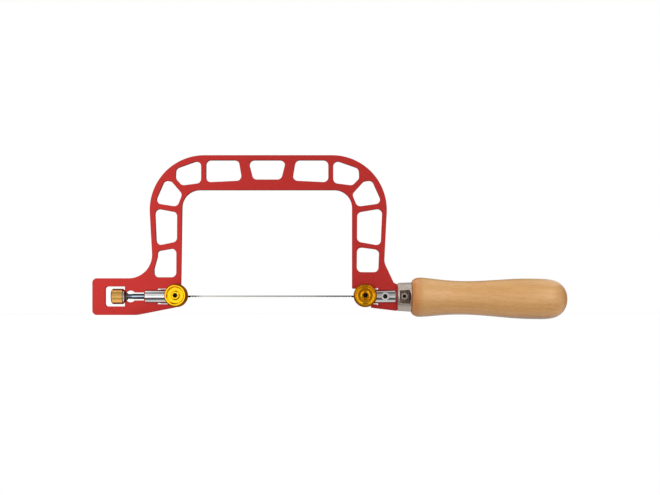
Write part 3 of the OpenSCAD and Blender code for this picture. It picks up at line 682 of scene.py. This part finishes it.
def thumb_knob(name, centre_x, sizes):
    """A turned knob: a closed profile of side, rim, dish and boss goes round the screw axis, the hole
    in the boss is hexagonal, and grooves of a cosine's shape knurl the side."""
    back = sizes.knob_back
    front = back + sizes.knob_depth
    floor = front - sizes.dish_depth
    boss = floor + sizes.boss_h
    side_r, rim_r, dish_r = sizes.knob_d / 2, sizes.rim_d / 2, sizes.dish_d / 2
    floor_r, boss_r, bore_r = sizes.dish_floor_d / 2, sizes.boss_d / 2, sizes.screw_bore_d / 2
    hole_r = sizes.key_hole / 2
    bore_end = boss - sizes.key_hole_len
    edge = (rim_r - dish_r) / 3
    half = back + sizes.knob_depth / 2
    profile = refined(rounded([
        (bore_r, back, 0.1), (side_r - 3 * edge, back, 0.3), (side_r, back + 3 * edge, 0.6),
        (side_r, half, 0.8), (rim_r, front, 0.2), (dish_r, front, 0.2),
        (floor_r, floor, 0.4), (sizes.boss_foot_d / 2, floor, 0.3), (boss_r, boss, 0.2),
        (hole_r, boss, 0.0), (hole_r, bore_end, 0.0), (bore_r, bore_end, 0.1),
    ]), step=0.3)
    angle = turns(KNURL_STEPS)
    r, h = np.repeat(profile[:, :1], KNURL_STEPS, 1), profile[:, 1]
    in_hole = np.abs(profile[:, 0] - hole_r) < 1e-6
    r[in_hole] = hexagon(sizes.key_hole, angle)
    grip = plateau(h, back + 4 * edge, half - edge, edge) * (profile[:, 0] > side_r - edge)
    r -= sizes.knurl_depth * grip[:, None] * (0.5 + 0.5 * np.cos(KNOB_GROOVES * angle))
    return turned(name, r, h, (centre_x, 0.0, SCREW_LIFT), (0, -1, 0), KNURL_STEPS)


def tension_knob(name, low_x, high_x, diameter, sizes):
    """A brass knob: a closed profile round the blade line, knurled by straight grooves of a cosine's
    shape."""
    chamfer = (high_x - low_x) / 10
    r, bore_r = diameter / 2, sizes.rod_bore_d / 2
    profile = refined(rounded([
        (bore_r, low_x + chamfer, 0.1), (bore_r + chamfer, low_x, 0.2), (r - chamfer, low_x, 0.3),
        (r, low_x + chamfer, 0.3), (r, high_x - chamfer / 2, 0.2), (r - chamfer / 2, high_x, 0.2),
        (bore_r, high_x, 0.1),
    ]), step=0.25)
    grip = plateau(profile[:, 1], low_x + 1.5 * chamfer, high_x - chamfer, chamfer / 2)
    grip *= profile[:, 0] > r - chamfer / 2
    groove = sizes.brass_knurl_depth * (0.5 + 0.5 * np.cos(BRASS_GROOVES * turns(KNURL_STEPS)))
    radius = profile[:, :1] - grip[:, None] * groove
    return turned(name, radius, profile[:, 1], (0, 0, 0), (1, 0, 0), KNURL_STEPS)


def tension_rod(name, low_x, high_x, diameter, sizes):
    """A rod threaded at its front: the radius falls by a triangle wave of x / pitch - angle / turn."""
    r = diameter / 2
    chamfer = diameter / 8
    thread_end = low_x + sizes.thread_len
    turn = turns(ROD_STEPS) / (2 * np.pi)
    fine = np.arange(low_x + chamfer, thread_end, sizes.thread_pitch / POINTS_PER_THREAD)
    x = np.concatenate([[low_x, low_x], fine, [high_x - chamfer, high_x, high_x]])
    radius = np.concatenate([[0, r - chamfer], np.full(len(fine) + 1, r), [r - chamfer, 0]])
    wave = np.abs(((x[:, None] / sizes.thread_pitch - turn) % 1) * 2 - 1)
    cut = plateau(x, low_x + 2 * chamfer, thread_end - chamfer, chamfer) * (radius > 0)
    relief = sizes.thread_depth * wave * cut[:, None]
    return turned(name, radius[:, None] - relief, x, (0, 0, 0), (1, 0, 0), ROD_STEPS)


def handle(name, end_x, sizes):
    """The wooden handle, from the bottom of its bores to its round end. The outside is a quarter round
    up to the shoulder, half cosines down to the waist and up to the belly, and a superellipse."""
    shoulder_s, waist_s, belly_s = (
        sizes.handle_len * share for share in (SHOULDER_SHARE, WAIST_SHARE, BELLY_SHARE))
    mouth, shoulder, waist, belly = (
        d / 2 for d in (sizes.mouth_d, sizes.shoulder_d, sizes.waist_d, sizes.belly_d))
    t = np.linspace(0, 1, CURVE_STEPS + 1)[1:]
    quarter = t * np.pi / 2
    bores = [
        (0.0, sizes.stud_end), (sizes.stud_d / 2, sizes.stud_end), (sizes.stud_d / 2, sizes.insert_end),
        (sizes.insert_d / 2, sizes.insert_end), (sizes.insert_d / 2, sizes.spigot_len),
        (sizes.spigot_d / 2, sizes.spigot_len), (sizes.spigot_d / 2, 0.0), (mouth, 0.0),
    ]
    front = np.stack([
        mouth + (shoulder - mouth) * np.sin(quarter),
        shoulder_s * (1 - np.cos(quarter))], 1)
    neck = np.stack([
        shoulder + (waist - shoulder) * (1 - np.cos(np.pi * t ** NECK_POWER)) / 2,
        shoulder_s + (waist_s - shoulder_s) * t], 1)
    grip = np.stack([
        waist + (belly - waist) * (1 - np.cos(np.pi * t)) / 2,
        waist_s + (belly_s - waist_s) * t], 1)
    end = np.stack([
        belly * np.cos(quarter),
        belly_s + (sizes.handle_len - belly_s) * np.sin(quarter) ** (2 / END_POWER)], 1)
    end[-1, 0] = 0.0
    profile = np.concatenate([bores, front, neck, grip, end])
    axis = (math.cos(HANDLE_TILT), 0.0, -math.sin(HANDLE_TILT))
    front_x = end_x - (sizes.ferrule_len + sizes.handle_len) * axis[0]
    origin = np.array([front_x, 0.0, -sizes.handle_drop]) + sizes.ferrule_len * np.array(axis)
    return turned(name, profile[:, 0], profile[:, 1], origin, axis)


# Operators

class SAW_OT_stage(bpy.types.Operator):
    """Set up the camera, the pale floor, the studio's surroundings and its lamps"""
    bl_idname = "fret_saw.stage"
    bl_label = "Stage"

    def execute(self, context):
        self.camera(context.scene)
        self.floor()
        self.surroundings(context.scene)
        self.lamp("key_lamp", place=(-0.45, -0.6, 0.9), width=0.7, watts=3.5)
        self.lamp("rear_lamp", place=(0.5, 0.9, 0.7), width=0.9, watts=2.5)
        context.scene.view_settings.view_transform = "Standard"
        return {"FINISHED"}

    def camera(self, scene):
        """A camera square to the frame plate, a little below the blade line."""
        data = bpy.data.cameras.new("camera")
        view = bpy.data.objects.new("camera", data)
        scene.collection.objects.link(view)
        data.sensor_width = SENSOR
        data.lens = LENS
        data.clip_start = 0.01
        data.shift_y = (HORIZON_ROW - PHOTO_H / 2) / PHOTO_W
        view.location = times(CAMERA_AT, MM)
        view.rotation_euler = (math.pi / 2, 0.0, 0.0)
        scene.camera = view

    def light_paths(self, finish):
        """Whether a ray comes from the camera, from a glossy surface, or through something clear."""
        return [
            finish.node("ShaderNodeLightPath", out=kind)
            for kind in ("Is Camera Ray", "Is Glossy Ray", "Is Transmission Ray")]

    def floor(self):
        """A pale floor just below the handle, which shows white and keeps the shadow. A gloss sees cards
        on it, whose edges lie at x and y in metres."""
        height = CAD_BOX[0][2] - FLOOR_GAP
        corners = [(-1, -1), (1, -1), (1, 1), (-1, 1)]
        points = [(FLOOR_REACH * x, FLOOR_REACH * y, height) for x, y in corners]
        mesh = bpy.data.meshes.new("floor")
        mesh.from_pydata(points, [], [(0, 1, 2, 3)])
        floor = link("floor", mesh)
        made = bpy.data.materials.new("pale_floor")
        made.use_nodes = True
        finish = Finish(made.node_tree)
        dull = finish.node("ShaderNodeBsdfDiffuse", None, {"Color": (0.85, 0.85, 0.85)})
        seen, shine, through = self.light_paths(finish)
        x, y, _ = finish.parts(finish.place())
        inner = x.rise(-0.101, -0.095)
        under_brass = 1.0 - inner
        tone = 1.6 - 0.95 * x.rise(-0.12, 0.06) + 0.3 * x.rise(0.078, 0.086)
        cards = (
            # Grey in front of the brass knob, and bright right below it
            (0.75, y.rise(-0.06, -0.03) * under_brass),
            (1.5, y.rise(-0.019, -0.013) * under_brass),
            # Grey right below the rod, the barrels and the ferrule, and a dark strip in front of that
            (0.65, y.rise(-0.0125, -0.0095) * inner),
            (0.1, y.rise(-0.07, -0.03) * (1.0 - y.rise(-0.0135, -0.0095)) * inner),
            # Dim behind the saw
            (0.3, y.rise(0.004, 0.012)),
        )
        for strength, where in cards:
            tone = tone.towards(strength, where)
        white = finish.node("ShaderNodeEmission", None, {
            "Color": (1.0, 1.0, 1.0), "Strength": tone.towards(1.03, 1.0 - shine)})
        # The camera sees 0.85 of the white, and the rest is dull and holds the shadow
        share = (seen.most(through) * 0.85).most(shine)
        both = finish.node("ShaderNodeMixShader", None, {0: share, 1: dull, 2: white})
        finish.node("ShaderNodeOutputMaterial", None, {"Surface": both})
        dress(floor, made)

    def surroundings(self, scene):
        """White to the camera, and even light to a dull surface, weaker from behind. A gloss shows a
        studio that is bright in front and dimmer to the right. In degrees, lift goes up and over from
        the way to the viewer, and side leans from that circle to the right."""
        world = bpy.data.worlds.new("studio")
        world.use_nodes = True
        finish = Finish(world.node_tree)
        x, y, z = finish.parts(finish.node("ShaderNodeTexCoord", out="Generated"))
        degrees = 180.0 / math.pi
        lift = z.math("ARCTAN2", z, y * -1.0) * degrees
        side = x.math("ARCSINE", x) * degrees
        inner = side.rise(-11.0, -10.2)
        level = lift.band(-2.5, 4.0, 1.0) * (1.0 - side.rise(12.0, 16.0))
        spot = level * side.rise(-1.2, 0.9)
        strip = lift.rise(30.0, 54.0) * (1.0 - lift.rise(70.0, 84.0))
        tone = (1.34 - 0.69 * side.rise(-12.0, 1.0)) * (1.0 - 0.3 * lift.band(8.0, 60.0, 7.0))
        patches = (
            # A dark strip high up, weaker at the brass knob's side, and a grey ceiling
            (0.12, strip * (0.35 + 0.65 * inner)),
            (0.55, lift.rise(78.0, 84.0)),
            # A dark room behind
            (0.1, lift.rise(120.0, 130.0) * (1.0 - side.abs().rise(20.0, 32.0))),
            # A bright panel over the brass knob, and grey beyond it
            (2.6, lift.band(76.0, 132.0, 4.0) * (1.0 - inner) * side.rise(-20.0, -16.0)),
            (0.7, 1.0 - side.rise(-40.0, -22.0)),
            # Bright panels to the left and to the right, and dark past the right one
            (1.8, side.band(-31.0, -18.0, 3.0) * (1.0 - 0.6 * lift.abs().rise(45.0, 60.0))),
            (2.2, side.band(15.0, 34.0, 4.0) * (1.0 - 0.7 * lift.rise(45.0, 60.0))),
            (0.12, side.rise(34.5, 38.0)),
            # The viewer's shadow at eye level, with the darkest and warmest spot at its right
            (0.42, level * side.rise(-8.0, -1.0)),
            (0.06 + 0.22 * side.rise(0.8, 1.4), spot),
        )
        for strength, where in patches:
            tone = tone.towards(strength, where)
        seen, shine, through = self.light_paths(finish)
        even = 0.9 - 0.2 * y.rise(-0.2, 0.4)
        studio = finish.node("ShaderNodeBackground", None, {
            "Color": finish.blend(spot * shine, (1.0, 1.0, 1.0), (1.0, 0.38, 0.26)),
            "Strength": even.towards(tone, shine)})
        white = finish.node("ShaderNodeBackground", None, {"Color": (1.0, 1.0, 1.0), "Strength": 1.0})
        both = finish.node("ShaderNodeMixShader", None, {0: seen.most(through), 1: studio, 2: white})
        finish.node("ShaderNodeOutputWorld", None, {"Surface": both})
        scene.world = world

    def lamp(self, name, place, width, watts):
        """A square soft lamp that looks at the middle of the saw."""
        data = bpy.data.lights.new(name, "AREA")
        data.size = width
        data.energy = watts
        lamp = bpy.data.objects.new(name, data)
        bpy.context.scene.collection.objects.link(lamp)
        lamp.location = place
        lamp.visible_glossy = False
        middle = (CAD_BOX[0] + CAD_BOX[1]) / 2
        lamp.rotation_euler = (middle - lamp.location).to_track_quat("-Z", "Y").to_euler()


class SAW_OT_bow(bpy.types.Operator):
    """Break the edges of the frame plate and anodise it red"""
    bl_idname = "fret_saw.bow"
    bl_label = "Bow"

    def execute(self, context):
        sizes = context.scene.fret_saw_sizes
        plate = merged_copy("bow_plate", "frame")
        smooth(plate, PLATE_SHARP)
        bevel = plate.modifiers.new("broken_edges", "BEVEL")
        bevel.width = sizes.edge_bevel * MM
        bevel.segments = 2
        bevel.limit_method = "ANGLE"
        bevel.angle_limit = math.radians(50)
        bevel.use_clamp_overlap = False
        colours = context.scene.fret_saw_colours
        dress(plate, anodised_plate(tuple(colours.bow), tuple(colours.bow_edge)))
        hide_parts("frame")
        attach(plate, "saw")
        return {"FINISHED"}


class SAW_OT_knobs(bpy.types.Operator):
    """Turn, knurl and anodise the two yellow thumb knobs"""
    bl_idname = "fret_saw.knobs"
    bl_label = "Thumb knobs"

    def execute(self, context):
        sizes = context.scene.fret_saw_sizes
        colours = context.scene.fret_saw_colours
        for end, body in (("front", "front_knob"), ("rear", "rear_knob")):
            node = f"{end}_thumb_knob"
            low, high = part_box(node)
            middle = (low[0] + high[0]) / 2 / MM
            knob = thumb_knob(f"{end}_dished_knob", middle, sizes)
            centre = (middle, 0.0, SCREW_LIFT)
            dress(knob, anodised_knob(f"{end}_knob_anodised", colours, centre, sizes.rim_d / 2))
            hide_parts(node)
            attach(knob, body)
        return {"FINISHED"}


class SAW_OT_tension(bpy.types.Operator):
    """Make the threaded rod and the knurled brass knob, and finish their seat"""
    bl_idname = "fret_saw.tension"
    bl_label = "Tension screw"

    def execute(self, context):
        sizes = context.scene.fret_saw_sizes
        colours = context.scene.fret_saw_colours
        low, high = (np.array(corner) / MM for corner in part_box("tension_knob"))
        knob = tension_knob("brass_tension_knob", low[0], high[0], high[2] - low[2], sizes)
        dress(knob, turned_metal("turned_brass", tuple(colours.brass), roughness=0.24))
        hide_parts("tension_knob")
        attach(knob, "tension_knob")
        low, high = (np.array(corner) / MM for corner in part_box("tension_rod"))
        rod = tension_rod("threaded_rod", low[0], high[0], high[2] - low[2], sizes)
        dress(rod, drawn_rod(tuple(colours.rod), tuple(colours.rod_side_painted_shade), (high[2] - low[2]) / 2))
        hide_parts("tension_rod")
        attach(rod, "front_holder")
        ring_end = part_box("tension_seat")[0][0] / MM + sizes.seat_ring
        dress(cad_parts["tension_seat"], seat_steel(
            tuple(colours.seat), tuple(colours.seat_cone_shadow), ring_end))
        return {"FINISHED"}


class SAW_OT_fittings(bpy.types.Operator):
    """Finish the barrels, clamp screws, pads, pins and the blade"""
    bl_idname = "fret_saw.fittings"
    bl_label = "Steel fittings"

    def execute(self, context):
        sizes = context.scene.fret_saw_sizes
        colours = context.scene.fret_saw_colours
        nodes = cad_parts
        barrel = turned_metal("barrel_steel", tuple(colours.steel), roughness=0.06)
        screw = turned_metal("blackened_screw", tuple(colours.screw), "y", roughness=0.35)
        for name in ("front_barrel", "rear_barrel", "front_clamp_pad", "rear_clamp_pad"):
            dress(nodes[name], barrel)
        for name in ("front_clamp_screw", "rear_clamp_screw", "rod_lock_pin"):
            dress(nodes[name], screw)
        dress(nodes["rear_fork_screw"], turned_metal(
            "bright_screw", tuple(colours.steel), "y", front_of("rear_fork_screw"),
            roughness=0.2, shadowed_socket_d=sizes.key_hole * CORNER_WIDTH))
        dress(nodes["blade"], spring_steel(tuple(colours.blade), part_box("blade")[0][0]))
        return {"FINISHED"}


class SAW_OT_grip(bpy.types.Operator):
    """Turn the beech handle and finish the ferrule, its screw and what the handle holds"""
    bl_idname = "fret_saw.grip"
    bl_label = "Handle"

    def execute(self, context):
        sizes = context.scene.fret_saw_sizes
        colours = context.scene.fret_saw_colours
        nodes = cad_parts
        low, high = (corner[0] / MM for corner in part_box("handle"))
        grip = handle("beech_handle", high, sizes)
        dress(grip, beech(colours, low, high))
        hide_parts("handle")
        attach(grip, "saw")
        dress(nodes["ferrule"], plated_ferrule(
            tuple(colours.nickel), tuple(colours.flat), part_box("ferrule")[0][0] / MM, sizes))
        dress(nodes["ferrule_set_screw"], turned_metal(
            "set_screw_steel", tuple(colours.set_screw), "y", front_of("ferrule_set_screw"),
            roughness=0.3, shadowed_socket_d=sizes.set_key * CORNER_WIDTH))
        dress(nodes["handle_stud"], turned_metal("stud_steel", tuple(colours.steel), roughness=0.3))
        dress(nodes["handle_insert"], turned_metal("insert_brass", tuple(colours.brass), roughness=0.3))
        return {"FINISHED"}


OPERATORS = (SAW_OT_stage, SAW_OT_bow, SAW_OT_knobs, SAW_OT_tension, SAW_OT_fittings, SAW_OT_grip)


class SAW_PT_panel(bpy.types.Panel):
    """Lists the steps that finish the saw, with its sizes and colours"""
    bl_idname = "SAW_PT_panel"
    bl_label = "Fret Saw"
    bl_space_type = "VIEW_3D"
    bl_region_type = "UI"
    bl_category = "Fret Saw"

    def draw(self, context):
        column = self.layout.column()
        for operator in OPERATORS:
            column.operator(operator.bl_idname)
        for group in (context.scene.fret_saw_sizes, context.scene.fret_saw_colours):
            for name in type(group).__annotations__:
                column.prop(group, name)


CLASSES = (SawSizes, SawColours, *OPERATORS, SAW_PT_panel)


def register():
    for part in CLASSES:
        bpy.utils.register_class(part)
    bpy.types.Scene.fret_saw_sizes = bpy.props.PointerProperty(type=SawSizes)
    bpy.types.Scene.fret_saw_colours = bpy.props.PointerProperty(type=SawColours)


def unregister():
    del bpy.types.Scene.fret_saw_colours
    del bpy.types.Scene.fret_saw_sizes
    for part in reversed(CLASSES):
        bpy.utils.unregister_class(part)


def main():
    """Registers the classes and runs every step."""
    register()
    for operator in OPERATORS:
        group, step = operator.bl_idname.split(".")
        getattr(getattr(bpy.ops, group), step)()


if __name__ == "__main__":
    main()
